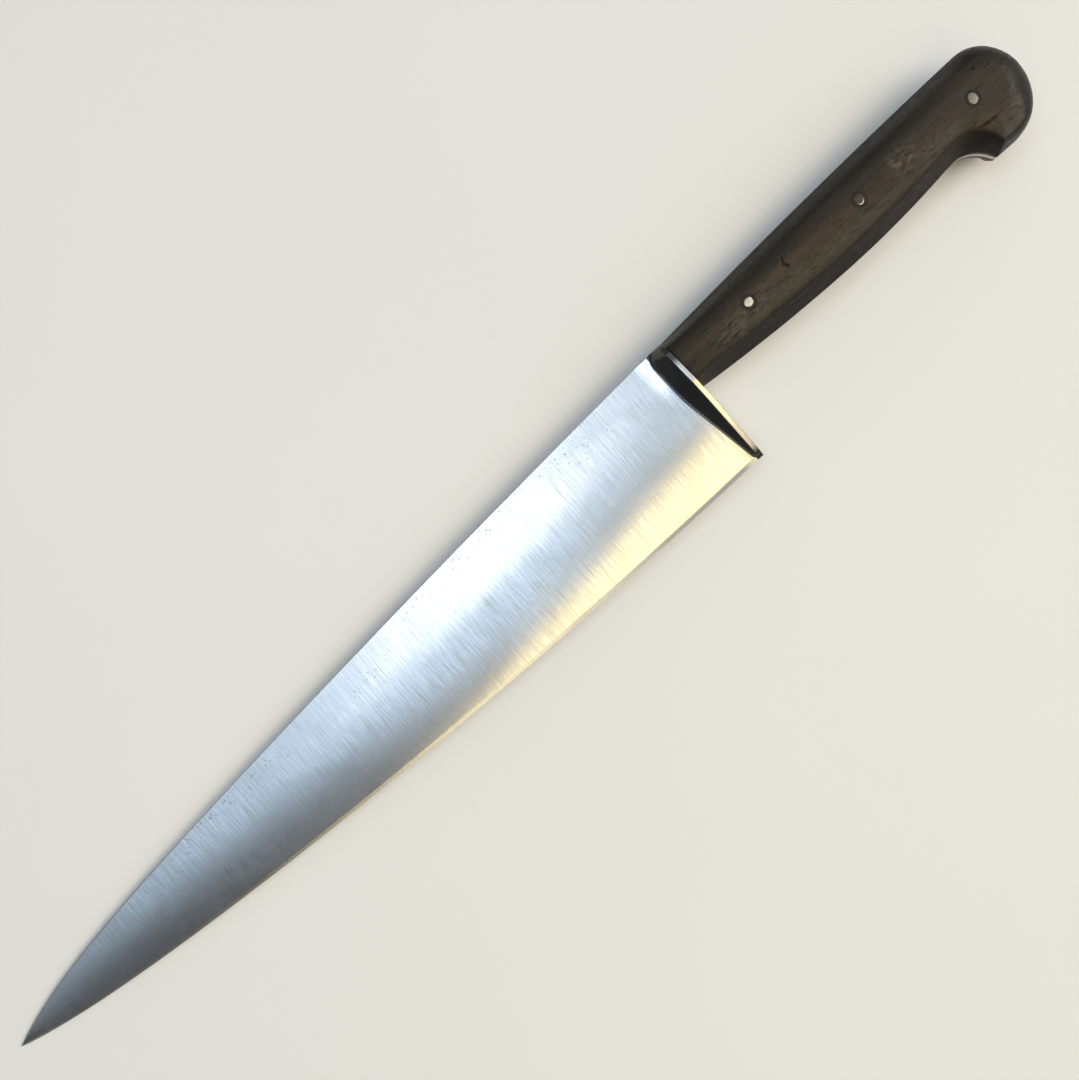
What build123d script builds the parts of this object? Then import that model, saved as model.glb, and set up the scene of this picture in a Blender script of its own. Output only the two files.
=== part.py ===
from build123d import *
import math
import os

os.makedirs("parts", exist_ok=True)

# A forged full-tang chef knife, lying on its right side, so that its left face is up.
#
# Working frame while modelling: X runs from the tip to the butt, with X = 0 at the rear face of
# the bolster. Y runs from the cutting edge to the spine. Z = 0 is the knife's mid-plane. At the
# end the pieces are shifted together, so that the origin is the bottom centre of the whole.
# Sizes are in millimetres and angles in degrees.

# ---- Blade --------------------------------------------------------------------------------------

BLADE_LENGTH = 254.0          # tip to the rear face of the bolster: a 10 inch blade
TIP_HEIGHT = -9.8             # the tip lies well below the spine's line
TIP_BLUNTNESS = 0.2           # half the height of the blunted tip

SPINE_TIP_RISE = 6.06         # the spine climbs this much close to the tip ...
SPINE_TIP_REACH = 18.7        # ... over about this distance,
SPINE_SLOPE = 0.1116          # then rises in a long straight run
SPINE_FLATTENING = 1.08e-4    # that flattens towards the handle

EDGE_TIP_DROP = 3.03          # the cutting edge falls this much close to the tip ...
EDGE_TIP_REACH = 19.4         # ... over about this distance,
EDGE_SLOPE = 0.108            # then falls along the belly
EDGE_BELLY = 2.82e-4          # that curves back up to the heel

SPINE_THICKNESS = 3.2         # across the spine at the bolster
TIP_THICKNESS = 0.8           # across the spine at the tip
EDGE_THICKNESS = 0.3          # the flat that stands for the sharpened edge
BEVEL_THICKNESS = 1.0         # across the top of the sharpening bevel at the heel
TIP_BEVEL_THICKNESS = 0.5
BEVEL_HEIGHT = 1.3            # height of the sharpening bevel at the heel
TIP_BEVEL_HEIGHT = 0.6
FACE_BULGE = 0.18             # the ground faces bow out this much at the heel
TIP_BULGE = 0.01
BEVEL_SHARE = 0.3             # near the tip, the bevel is at most this share of the height

BLADE_STATIONS = 14           # sections that the blade is lofted through
STATION_CROWDING = 1.6        # they crowd towards the tip, where the outline turns most
BLADE_ROOT = 2.0              # the blade's loft stops this far ahead of the bolster's rear face

# ---- Bolster ------------------------------------------------------------------------------------

SPINE_AT_HANDLE = 17.4        # the bolster's top, flush with the handle's top
HEEL_HEIGHT = -22.0           # the bolster's bottom, at the heel of the cutting edge
REAR_LEAN = 2.5               # its rear face leans back towards the heel
LAND_WIDTH = 1.4              # the strip behind the ridge, flush with the scales
SLOPE_ANGLE = 60.0            # the front slope, from the blade's face up to the ridge
FULL_THICKNESS_ABOVE = 3.0    # above this height the bolster is as thick as the handle
SPINE_CORNER = 4.6            # rounding along its spine side
HEEL_HALF_THICKNESS = 2.2     # half its thickness at the heel ...
HEEL_CHAMFER = 1.2            # ... which is chamfered to the cutting edge over this height
HEEL_TIP_HALF = 0.5           # half the thickness left below that chamfer
FILLET_RADIUS = 3.0           # the concave fillet where the blade's face turns up into the slope
HEEL_FILLET_RADIUS = 1.6
BOLSTER_REACH = 9.0           # how far ahead of its rear face the bolster's fillet may start
BLADE_HALF_AT_TOP = 1.5       # half the blade's thickness that the fillet starts from: at the top,
BLADE_HALF_AT_MIDDLE = 1.15   # where the bolster begins to thin,
BLADE_HALF_AT_HEEL = 0.4      # and at the heel

# ---- Handle -------------------------------------------------------------------------------------

HANDLE_THICKNESS = 16.4       # over the flat outer faces of the scales
HANDLE_FRONT_TOP = (-6.0, 16.9)      # the outline runs on under the bolster before it is cut
HANDLE_FRONT_BOTTOM = (-6.0, 2.4)
BELLY = (48.0, -0.5)          # the lowest point of the grip, between two long arcs
BUTT_CENTRE = (102.0, 10.0)   # the butt is a large arc ...
BUTT_RADIUS = 14.3
CROWN_RADIUS = 10.2           # ... that tightens into a smaller one towards the top line
CROWN_ANGLE = 38.0            # where the two arcs meet, from the X axis
CROWN_MIDDLE_ANGLE = 64.0
CROWN_END_ANGLE = 91.5        # where the crown runs into the gently bowed top line
HOOK_START = (87.4, 2.35)     # the hook that keeps the little finger from slipping off
HOOK_MIDDLE = (92.6, 0.8)
HOOK_TIP = (96.9, -4.3)       # level with the bottom of the butt's arc
HOOK_BLEND = 8.0              # blends the grip's lower line into the hook
HOOK_ROUNDING = 0.7

SIDE_WALL = 2.2               # a scale rises straight from the mid-plane this far,
SIDE_RISE = 4.9               # then its side slopes in by SIDE_INSET over this much
SIDE_INSET = 2.6
SHOULDER_INSET = 1.6          # and a flatter shoulder leads on to the outer face

TANG_AT_BOLSTER = 3.0         # the tang's thickness tapers towards the butt
TANG_AT_BUTT = 1.4

# ---- Pins ---------------------------------------------------------------------------------------

PIN_DIAMETER = 3.2
FIRST_PIN = 22.6              # behind the bolster's rear face
PIN_PITCH = 38.1
PIN_HEIGHTS = {"pin_front": 10.1, "pin_middle": 11.0, "pin_rear": 11.0}
PIN_DOME = 0.12               # the left heads are peened a little proud of the wood

# ---- Worked out ---------------------------------------------------------------------------------

HALF_HANDLE = HANDLE_THICKNESS / 2
HANDLE_END = BUTT_CENTRE[0] + BUTT_RADIUS
BEYOND = 60.0                 # a length that is clear of every piece, for cutting tools


def spine_height(from_tip):
    """Height of the spine at a distance from the tip."""
    tip_rise = SPINE_TIP_RISE * (1 - math.exp(-from_tip / SPINE_TIP_REACH))
    long_run = SPINE_SLOPE * from_tip - SPINE_FLATTENING * from_tip**2
    return TIP_HEIGHT + TIP_BLUNTNESS + tip_rise + long_run


def edge_height(from_tip):
    """Height of the cutting edge at a distance from the tip."""
    tip_drop = EDGE_TIP_DROP * (1 - math.exp(-from_tip / EDGE_TIP_REACH))
    belly = EDGE_SLOPE * from_tip - EDGE_BELLY * from_tip**2
    return TIP_HEIGHT - TIP_BLUNTNESS - tip_drop - belly


def taper(at_tip, at_heel, from_tip):
    """A size that changes evenly along the blade."""
    return at_tip + (at_heel - at_tip) * from_tip / BLADE_LENGTH


def blade_section(from_tip):
    """One cross-section: flat spine, two slightly bowed faces, a bevel and a flat edge."""
    x = from_tip - BLADE_LENGTH
    top = spine_height(from_tip)
    bottom = edge_height(from_tip)
    bevel = min(taper(TIP_BEVEL_HEIGHT, BEVEL_HEIGHT, from_tip), BEVEL_SHARE * (top - bottom))
    bevel_top = bottom + bevel
    half_spine = taper(TIP_THICKNESS, SPINE_THICKNESS, from_tip) / 2
    half_bevel = taper(TIP_BEVEL_THICKNESS, BEVEL_THICKNESS, from_tip) / 2
    half_edge = EDGE_THICKNESS / 2
    middle = (top + bevel_top) / 2
    half_middle = (half_spine + half_bevel) / 2 + taper(TIP_BULGE, FACE_BULGE, from_tip)
    return Wire([
        Line((x, top, -half_spine), (x, top, half_spine)),
        ThreePointArc((x, top, half_spine), (x, middle, half_middle), (x, bevel_top, half_bevel)),
        Line((x, bevel_top, half_bevel), (x, bottom, half_edge)),
        Line((x, bottom, half_edge), (x, bottom, -half_edge)),
        Line((x, bottom, -half_edge), (x, bevel_top, -half_bevel)),
        ThreePointArc((x, bevel_top, -half_bevel), (x, middle, -half_middle), (x, top, -half_spine)),
    ])


def make_blade():
    """The blade, lofted from the tip to inside the bolster."""
    length = BLADE_LENGTH - BLADE_ROOT
    steps = [(i / (BLADE_STATIONS - 1)) ** STATION_CROWDING for i in range(BLADE_STATIONS)]
    return Solid.make_loft([blade_section(step * length) for step in steps])


def behind_bolster():
    """Everything behind the plane of the bolster's rear face."""
    block = Box(4 * BEYOND, 2 * BEYOND, BEYOND, align=(Align.MIN, Align.CENTER, Align.CENTER))
    return Rot(0, 0, REAR_LEAN) * block


def bolster_outline():
    """The bolster seen from behind: a rounded top, handle-thick sides, a taper to the heel."""
    half = HALF_HANDLE
    corner = half - SPINE_CORNER
    diagonal = SPINE_CORNER * math.sqrt(0.5)
    corner_middle = (SPINE_AT_HANDLE - SPINE_CORNER + diagonal, corner + diagonal)
    heel_top = HEEL_HEIGHT + HEEL_CHAMFER

    def side(sign):
        """One side, from the spine down to the heel, as (y, z) points turned into edges."""
        points = [
            (SPINE_AT_HANDLE, corner), corner_middle, (SPINE_AT_HANDLE - SPINE_CORNER, half),
            (FULL_THICKNESS_ABOVE, half), (heel_top, HEEL_HALF_THICKNESS), (HEEL_HEIGHT, HEEL_TIP_HALF),
        ]
        places = [Vector(-BOLSTER_REACH, y, sign * z) for y, z in points]
        corner_arc = ThreePointArc(places[0], places[1], places[2])
        return [corner_arc] + [Line(a, b) for a, b in zip(places[2:], places[3:])]

    left = side(1)
    right = side(-1)
    spine = Line(left[0] @ 0, right[0] @ 0)
    heel = Line(left[-1] @ 1, right[-1] @ 1)
    return make_face(Wire(left + right + [spine, heel]))


def bolster_profile(y, half_thickness, fillet_radius, half_blade):
    """The bolster sliced across its height: blade face, fillet, slope, ridge and land."""
    rear = -y * math.tan(math.radians(REAR_LEAN))
    slope = math.radians(SLOPE_ANGLE)
    slope_start = half_blade + fillet_radius * (1 - math.cos(slope))
    ridge_x = rear - LAND_WIDTH
    slope_start_x = ridge_x - (half_thickness - slope_start) / math.tan(slope)
    fillet_start_x = slope_start_x - fillet_radius * math.sin(slope)
    half_turn = slope / 2
    fillet_middle = (
        fillet_start_x + fillet_radius * math.sin(half_turn),
        half_blade + fillet_radius * (1 - math.cos(half_turn)),
    )

    def side(sign):
        """One side of the slice, from the blade's face back to the rear, as edges."""
        start = Vector(-2 * BOLSTER_REACH, y, sign * half_blade)
        fillet_start = Vector(fillet_start_x, y, sign * half_blade)
        fillet_end = Vector(slope_start_x, y, sign * slope_start)
        ridge = Vector(ridge_x, y, sign * half_thickness)
        back = Vector(BOLSTER_REACH, y, sign * half_thickness)
        middle = Vector(fillet_middle[0], y, sign * fillet_middle[1])
        return [
            Line(start, fillet_start),
            ThreePointArc(fillet_start, middle, fillet_end),
            Line(fillet_end, ridge),
            Line(ridge, back),
        ]

    left = side(1)
    right = side(-1)
    front = Line(left[0] @ 0, right[0] @ 0)
    rear_line = Line(left[-1] @ 1, right[-1] @ 1)
    return Wire(left + right + [front, rear_line])


def make_bolster():
    """The full-height bolster, with the blade's faces running up into it."""
    tapered_height = FULL_THICKNESS_ABOVE - HEEL_HEIGHT - HEEL_CHAMFER
    thickness_slope = (HALF_HANDLE - HEEL_HALF_THICKNESS) / tapered_height
    heel_half = HEEL_HALF_THICKNESS - HEEL_CHAMFER * thickness_slope
    top = bolster_profile(SPINE_AT_HANDLE, HALF_HANDLE, FILLET_RADIUS, BLADE_HALF_AT_TOP)
    middle = bolster_profile(FULL_THICKNESS_ABOVE, HALF_HANDLE, FILLET_RADIUS, BLADE_HALF_AT_MIDDLE)
    heel = bolster_profile(HEEL_HEIGHT, heel_half, HEEL_FILLET_RADIUS, BLADE_HALF_AT_HEEL)
    slices = Solid.make_loft([top, middle, heel], ruled=True)
    block = extrude(bolster_outline(), amount=2 * BOLSTER_REACH, dir=(1, 0, 0))
    return (block & slices) - behind_bolster()


# ---- Handle pieces ------------------------------------------------------------------------------

def on_circle(centre, radius, angle):
    """The point of a circle at an angle from the X axis."""
    turn = math.radians(angle)
    return (centre[0] + radius * math.cos(turn), centre[1] + radius * math.sin(turn))


def handle_outline():
    """The handle from the side, running on forward under the bolster. Only the hook's tip is sharp."""
    crown_centre = on_circle(BUTT_CENTRE, BUTT_RADIUS - CROWN_RADIUS, CROWN_ANGLE)
    arcs_meet = on_circle(BUTT_CENTRE, BUTT_RADIUS, CROWN_ANGLE)
    crown_end = on_circle(crown_centre, CROWN_RADIUS, CROWN_END_ANGLE)
    crown_end_direction = on_circle((0, 0), 1, CROWN_END_ANGLE + 90)
    butt_bottom = on_circle(BUTT_CENTRE, BUTT_RADIUS, -90)
    outline = make_face(Wire([
        Line(HANDLE_FRONT_TOP, HANDLE_FRONT_BOTTOM),
        TangentArc(BELLY, HANDLE_FRONT_BOTTOM, tangent=(-1, 0)),
        TangentArc(BELLY, HOOK_START, tangent=(1, 0)),
        ThreePointArc(HOOK_START, HOOK_MIDDLE, HOOK_TIP),
        Line(HOOK_TIP, butt_bottom),
        ThreePointArc(butt_bottom, on_circle(BUTT_CENTRE, BUTT_RADIUS, 0), arcs_meet),
        ThreePointArc(arcs_meet, on_circle(crown_centre, CROWN_RADIUS, CROWN_MIDDLE_ANGLE), crown_end),
        TangentArc(crown_end, HANDLE_FRONT_TOP, tangent=crown_end_direction),
    ]))
    return fillet(corner_at(outline, HOOK_START), HOOK_BLEND)


def corner_at(outline, place):
    """The outline's corner at a place."""
    return outline.vertices().sort_by_distance((*place, 0))[0]


def tang_wedge():
    """A wedge, as thick as the tapered tang and larger than it in every other way."""
    front = TANG_AT_BOLSTER / 2
    thinning = (TANG_AT_BOLSTER - TANG_AT_BUTT) / 2 / HANDLE_END
    points = []
    for x in (-BEYOND, HANDLE_END + BEYOND):
        points.append((x, front - thinning * x))
    points += [(x, -z) for x, z in reversed(points)]
    profile = Plane.XZ * make_face(Polyline(*points, close=True))
    return extrude(profile, amount=BEYOND, both=True)


def make_tang():
    """The full tang: the handle's outline, tapering in thickness."""
    outline = handle_outline()
    rounded = fillet(corner_at(outline, HOOK_TIP), HOOK_ROUNDING)
    plate = extrude(rounded, amount=HALF_HANDLE, both=True)
    return (plate & tang_wedge()) - Pos(-BEYOND - BLADE_ROOT, 0, 0) * Box(2 * BEYOND, 2 * BEYOND, BEYOND)


def sloped(base, rise, inset):
    """A body that rises from a face and slopes in all round."""
    return extrude(base, amount=rise, taper=math.degrees(math.atan2(inset, rise)))


def make_scale():
    """The left scale: flat outer face, shoulder, sloping side, and square to the bolster in front."""
    shoulder_rise = HALF_HANDLE - SIDE_WALL - SIDE_RISE
    outline = handle_outline()
    wall = extrude(outline, amount=SIDE_WALL)
    side = sloped(Pos(0, 0, SIDE_WALL) * outline, SIDE_RISE, SIDE_INSET)
    shoulder = sloped(side.faces().sort_by(Axis.Z)[-1], shoulder_rise, SHOULDER_INSET)
    return ((wall + side + shoulder) & behind_bolster()) - tang_wedge()


def make_pin(x, y):
    """A solid pin, its left head peened into a low dome and its right head flush."""
    radius = PIN_DIAMETER / 2
    shank = Pos(x, y, -HALF_HANDLE) * Cylinder(
        radius, HANDLE_THICKNESS, align=(Align.CENTER, Align.CENTER, Align.MIN)
    )
    dome_radius = (radius**2 + PIN_DOME**2) / (2 * PIN_DOME)
    ball = Pos(x, y, HALF_HANDLE + PIN_DOME - dome_radius) * Sphere(dome_radius)
    above = Pos(x, y, HALF_HANDLE) * Box(
        PIN_DIAMETER, PIN_DIAMETER, PIN_DIAMETER, align=(Align.CENTER, Align.CENTER, Align.MIN)
    )
    return shank + (ball & above)


def make_knife():
    """Every piece in the working frame, by name."""
    pins = {}
    for i, (name, height) in enumerate(PIN_HEIGHTS.items()):
        pins[name] = make_pin(FIRST_PIN + i * PIN_PITCH, height)
    forging = make_blade() + make_bolster() + make_tang()
    scale = make_scale()
    pieces = {"blade_forging": forging, "scale_left": scale, "scale_right": mirror(scale, about=Plane.XY)}
    for name, piece in pieces.items():
        for pin in pins.values():
            pieces[name] = pieces[name] - pin
    pieces.update(pins)
    return pieces


def main():
    """Shift the knife onto its origin and write one STEP file for each piece."""
    pieces = make_knife()
    whole = Compound(list(pieces.values())).bounding_box()
    to_origin = Pos(-whole.center().X, -whole.center().Y, -whole.min.Z)
    print("whole size", [round(side, 2) for side in whole.size])
    print("origin shift", [round(-side, 3) for side in (whole.center().X, whole.center().Y, whole.min.Z)])
    for name, piece in pieces.items():
        export_step(to_origin * piece, os.path.join("parts", name + ".step"))


main()
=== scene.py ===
import math

import bpy
import numpy as np
from mathutils import Matrix, Vector


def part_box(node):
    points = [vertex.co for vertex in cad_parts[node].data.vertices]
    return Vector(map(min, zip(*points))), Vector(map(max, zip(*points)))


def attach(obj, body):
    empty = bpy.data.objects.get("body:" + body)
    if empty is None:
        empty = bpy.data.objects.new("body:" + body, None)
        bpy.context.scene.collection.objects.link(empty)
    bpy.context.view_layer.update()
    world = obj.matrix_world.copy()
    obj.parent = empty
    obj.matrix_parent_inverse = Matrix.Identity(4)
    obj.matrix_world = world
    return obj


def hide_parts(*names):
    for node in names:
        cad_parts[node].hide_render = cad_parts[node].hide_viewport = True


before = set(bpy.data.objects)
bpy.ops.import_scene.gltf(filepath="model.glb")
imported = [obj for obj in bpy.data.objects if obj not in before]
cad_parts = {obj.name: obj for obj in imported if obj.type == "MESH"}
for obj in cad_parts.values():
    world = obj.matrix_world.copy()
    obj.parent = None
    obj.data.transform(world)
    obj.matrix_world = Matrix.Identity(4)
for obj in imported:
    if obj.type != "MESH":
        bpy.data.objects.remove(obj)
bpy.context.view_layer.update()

# A forged full-tang chef knife. The CAD frame has X from tip to butt, Y from edge to spine and Z
# out of the left face, which is up. The functions below work in the knife's own coordinates: x is
# measured from the bolster's rear face, y from the handle's axis and z from the knife's mid-plane.
# Everything is in metres.

# ---- Blade --------------------------------------------------------------------------------------

BLADE_LENGTH = 0.254
TIP_HEIGHT = -0.0098
TIP_BLUNTNESS = 0.0002
SPINE_TIP_RISE = 0.00606
SPINE_TIP_REACH = 0.0187
SPINE_SLOPE = 0.1116
SPINE_FLATTENING = 0.108
EDGE_TIP_DROP = 0.00303
EDGE_TIP_REACH = 0.0194
EDGE_SLOPE = 0.108
EDGE_BELLY = 0.282

SPINE_THICKNESS = (0.0008, 0.0032)      # pairs are (at the tip, at the heel)
BEVEL_THICKNESS = (0.0005, 0.0010)
BEVEL_HEIGHT = (0.0006, 0.0013)
FACE_BULGE = (0.00004, 0.00018)
EDGE_THICKNESS = 0.0001
BEVEL_SHARE = 0.3                       # the bevel is at most this share of the blade's height
SPINE_ROUNDING = 0.0004
FACE_WAVES = 0.000006                   # hand grinding leaves the faces a little uneven,
WAVES_ALONG = (190, 83)                 # in two waves along the blade, in radians per metre,
WAVE_SLANT = 60                         # the first of them slanted
WAVE_START = 1.3
PLAIN_STATIONS = 300                    # sections along the plain blade, which crowd towards its tip
STATION_CROWDING = 1.25
BOLSTER_STATIONS = 90
SPINE_STEPS = np.array([0.85, 0.4, -0.4, -0.85])    # points over the flat of the spine
BEVEL_STEPS = 6
THINNEST_SPINE = 0.4                    # the spine's rounding leaves at least this share of thickness
SPINE_ROWS = 22                         # rows down the face: crowded at the spine's corner,
MIDDLE_ROWS = 70                        # even over the middle,
BEVEL_ROWS = 7                          # and close at the bevel
MIDDLE_SHARES = (0.13, 0.97)            # the middle lies between these shares of the face

# ---- Bolster ------------------------------------------------------------------------------------

BOLSTER_TOP = 0.0174
HEEL_HEIGHT = -0.0220
REAR_LEAN = math.tan(math.radians(2.5))
LAND_WIDTH = 0.0014
SLOPE = math.tan(math.radians(60.0))
FULL_THICKNESS_ABOVE = 0.0030
SPINE_CORNER = 0.0046
HEEL_HALF_THICKNESS = 0.0022
HEEL_CHAMFER = 0.0012
HEEL_TIP_HALF = 0.0005
FILLET_BLEND = (0.0006, 0.0012)         # how softly the face turns up into the slope: heel, spine
FLARE_START = (0.0070, 0.0100)          # the face begins to flare this far ahead: heel, spine
FLARE_CURVE = 22.0
TAPER_SOFTNESS = 0.0012                 # rounding where its sides begin to taper to the heel,
CORNER_SOFTNESS = 0.0004                # along its spine side
HEEL_SOFTNESS = 0.0005                  # and at the heel's chamfer
RIDGE_SOFTNESS = 0.00025
REAR_ROUNDING = 0.0002
BOLSTER_REACH = 0.0110
BOLSTER_STARTS = 0.0006                 # it starts where the fillet has lifted the face this much
SPINE_LIFT = (0.012, 0.004)             # the spine's line climbs to its top this far ahead of its rear
LEAN_FADE = 0.06                        # ahead of this, the blade's sections no longer lean

# ---- Handle -------------------------------------------------------------------------------------

HANDLE_THICKNESS = 0.0164
HALF_HANDLE = HANDLE_THICKNESS / 2
FRONT_TOP = (-0.0060, 0.0169)
FRONT_BOTTOM = (-0.0060, 0.0024)
BELLY = (0.0480, -0.0005)
BUTT_CENTRE = (0.1020, 0.0100)
BUTT_RADIUS = 0.0143
HANDLE_LENGTH = BUTT_CENTRE[0] + BUTT_RADIUS
CROWN_RADIUS = 0.0102
CROWN_ANGLE = math.radians(38.0)
CROWN_END_ANGLE = math.radians(91.5)
HOOK_START = (0.0874, 0.00235)
HOOK_MIDDLE = (0.0926, 0.0008)
HOOK_TIP = (0.0969, -0.0043)
HOOK_START_BLEND = 0.0006
HOOK_TIP_BLEND = 0.0010
TANG_THICKNESS = (0.0014, 0.0030)       # at the butt, at the bolster
SIDE_WALL = 0.0020                      # a scale's side rises steeply this far from the mid-plane,
RIDGE_HEIGHT = 0.0073                   # then slopes in to the ridge at this height
LOWER_INSET = (0.0023, 0.0038, 0.005)   # how far in the ridge lies: at the bolster, along the grip,
UPPER_INSET = (0.0017, 0.0036, 0.015)   # and the length over which it gets there
HOOK_INSET = (0.17, -0.58)              # changes as a share: more round the hook, far less at its tip
SHOULDER_SLOPE = 0.42                   # beyond the ridge the face still climbs a little
FACE_CROWN = 0.00022                    # and bows down this much from its middle to the ridges
RIDGE_WEAR = (0.0003, 0.0018)           # the ridge is crisp below and worn round on top
BUTT_ROUNDNESS = 0.4                    # the side bows outward round the butt
UPPER_FROM = (0.3, 0.7)                 # shares of the height between which lower turns into upper
HOOK_REACH = (0.088, 0.094)             # the hook begins between these places along the handle
HOOK_DEPTH = (0.0055, -0.0035)          # and its tip between these heights
BUTT_REACH = (0.098, 0.108)
FACE_SOFTNESS = 0.0008                  # rounding where the shoulder meets the face
FACE_HEIGHTS = (0.0068, 0.0078)         # between these heights the side's painted shade turns into the face's painted sheen
FRONT_EASING = 0.00025
FRONT_COLUMNS = np.array([0, 0.2, 0.45, 0.7])
FRONT_LEAN_FADE = 0.03                  # behind this, the columns no longer lean with the bolster
INNER_EASING = 0.0001                   # a scale's lower corner is eased over the tang, in steps
WALL_RISE = np.array([0, 0.5, 1.5])
WALL_INSET = np.array([1.0, 0.25, 0])
BORDER_START = -0.003                   # the outline used for distances begins inside the bolster
BORDER_COLUMNS = 260
TANG_GRID = (260, 12)                   # columns and rows of each grid
LEFT_GRID = (520, 130)
RIGHT_GRID = (300, 90)

# ---- Pins ---------------------------------------------------------------------------------------

FIRST_PIN = 0.0226
PIN_PITCH = 0.0381
PIN_DOME = 0.00010
PIN_UNDER_WOOD = 0.00002                # the right end lies this much under the wood,
HEAD_START = 0.00006                    # and the left head starts to dome this much lower
DOME_POWER = 2.4
HEAD_POINTS = 72
HEAD_STEPS = 13
FOOT_SHARE = 0.97                       # the right end is eased in to this share
UNEVENNESS = (0.035, 0.020)             # the head's outline swells in three and in five places
RIM_HIGHLIGHT = (0.65, 0.35)                 # painted highlight on the rim: how bright it is all round, and how much that varies
# name, height on the handle, half-sizes of the head along x and y, its turn, the side where its painted
# highlight is brightest
PINS = [
    ("pin_front", 0.0101, 0.00165, 0.00140, math.radians(20), math.radians(30)),
    ("pin_middle", 0.0110, 0.00150, 0.00182, math.radians(-15), math.radians(-90)),
    ("pin_rear", 0.0110, 0.00152, 0.00190, math.radians(-12), math.radians(180)),
]

# ---- Marks of use on the scales: start, end, width, depth -----------------------------------------

LEFT_MARKS = [
    ((0.0362, 0.0132), (0.0355, 0.0118), 0.00030, 0.00035),
    ((0.0355, 0.0118), (0.0362, 0.0105), 0.00030, 0.00035),
    ((0.0956, 0.0042), (0.0999, 0.0038), 0.00026, 0.00022),
    ((0.1036, 0.0171), (0.1039, 0.0170), 0.00040, 0.00030),
    ((0.0307, 0.0024), (0.0361, 0.0020), 0.00025, 0.00012),
    ((0.0075, 0.0082), (0.0112, 0.0086), 0.00016, 0.00010),
    ((0.0090, 0.0068), (0.0140, 0.0074), 0.00016, 0.00012),
    ((0.0105, 0.0055), (0.0165, 0.0061), 0.00016, 0.00012),
    ((0.0125, 0.0088), (0.0162, 0.0092), 0.00016, 0.00009),
    ((0.0145, 0.0080), (0.0190, 0.0083), 0.00016, 0.00008),
    ((0.0752, 0.0071), (0.0801, 0.0068), 0.00020, 0.00006),
]
RIGHT_MARKS = [
    ((0.0262, 0.0070), (0.0291, 0.0078), 0.00030, 0.00014),
    ((0.0702, 0.0142), (0.0748, 0.0139), 0.00025, 0.00012),
    ((0.0094, 0.0112), (0.0151, 0.0118), 0.00020, 0.00010),
    ((0.1011, 0.0060), (0.1030, 0.0072), 0.00030, 0.00012),
]
HIDDEN_WEAR = 0.4                       # the right scale is rubbed only this share as much
# Patches rubbed pale: centre, reach along x and y, strength
RUBBED = [
    ((0.0754, 0.0116), (0.0036, 0.0026), 0.9),
    ((0.0260, 0.0085), (0.0110, 0.0030), 0.30),
    ((0.0480, 0.0075), (0.0160, 0.0022), 0.22),
    ((0.0150, 0.0075), (0.0070, 0.0030), 0.40),
    ((0.0830, 0.0090), (0.0080, 0.0022), 0.35),
]
PIN_RING = 0.0018                       # the grimy gap round each pin,
PIN_RING_WIDTH = 0.0004
FRONT_GRIME = 0.0005                    # the grimy line against the bolster,
FULL_CUT_SHADE_DEPTH = 0.00012              # and the depth from which a cut is fully darkened with painted shade

SHARP_ANGLE = math.radians(38)          # faces that meet at more than this stay crisp

# ---- The frame ----------------------------------------------------------------------------------

forging_low, forging_high = (Vector(corner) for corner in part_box("blade_forging"))
CROWN_CENTRE = (
    BUTT_CENTRE[0] + (BUTT_RADIUS - CROWN_RADIUS) * math.cos(CROWN_ANGLE),
    BUTT_CENTRE[1] + (BUTT_RADIUS - CROWN_RADIUS) * math.sin(CROWN_ANGLE),
)
BOLSTER_X = forging_low.x + BLADE_LENGTH
AXIS_Y = forging_high.y - (CROWN_CENTRE[1] + CROWN_RADIUS)
MID_Z = (forging_low.z + forging_high.z) / 2
# At rest the knife lies on its bolster's foot and its tip
LEAN_ANGLE = math.atan2(MID_Z - SPINE_THICKNESS[0] / 2, BLADE_LENGTH)


def smooth_max(a, b, softness):
    """The larger of a and b, with the corner between them rounded off."""
    gap = np.maximum(softness - np.abs(a - b), 0)
    return np.maximum(a, b) + gap * gap / (4 * softness)


def smooth_min(a, b, softness):
    """The smaller of a and b, with the corner between them rounded off."""
    return -smooth_max(-a, -b, softness)


def smooth_step(low, high, value):
    """0 below low, 1 above high, and a smooth climb between."""
    share = np.clip((value - low) / (high - low), 0, 1)
    return share * share * (3 - 2 * share)


def along_blade(pair, from_tip):
    """A size that changes evenly from the tip to the heel."""
    return pair[0] + (pair[1] - pair[0]) * from_tip / BLADE_LENGTH


def spine_height(from_tip):
    """Height of the spine at a distance from the tip."""
    tip_rise = SPINE_TIP_RISE * (1 - np.exp(-from_tip / SPINE_TIP_REACH))
    long_run = SPINE_SLOPE * from_tip - SPINE_FLATTENING * from_tip**2
    return TIP_HEIGHT + TIP_BLUNTNESS + tip_rise + long_run


def edge_height(from_tip):
    """Height of the cutting edge at a distance from the tip."""
    tip_drop = EDGE_TIP_DROP * (1 - np.exp(-from_tip / EDGE_TIP_REACH))
    belly = EDGE_SLOPE * from_tip - EDGE_BELLY * from_tip**2
    return TIP_HEIGHT - TIP_BLUNTNESS - tip_drop - belly


def bevel_top_height(from_tip):
    """Height of the line where the sharpening bevel starts."""
    height = spine_height(from_tip) - edge_height(from_tip)
    return edge_height(from_tip) + np.minimum(along_blade(BEVEL_HEIGHT, from_tip), BEVEL_SHARE * height)


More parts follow.
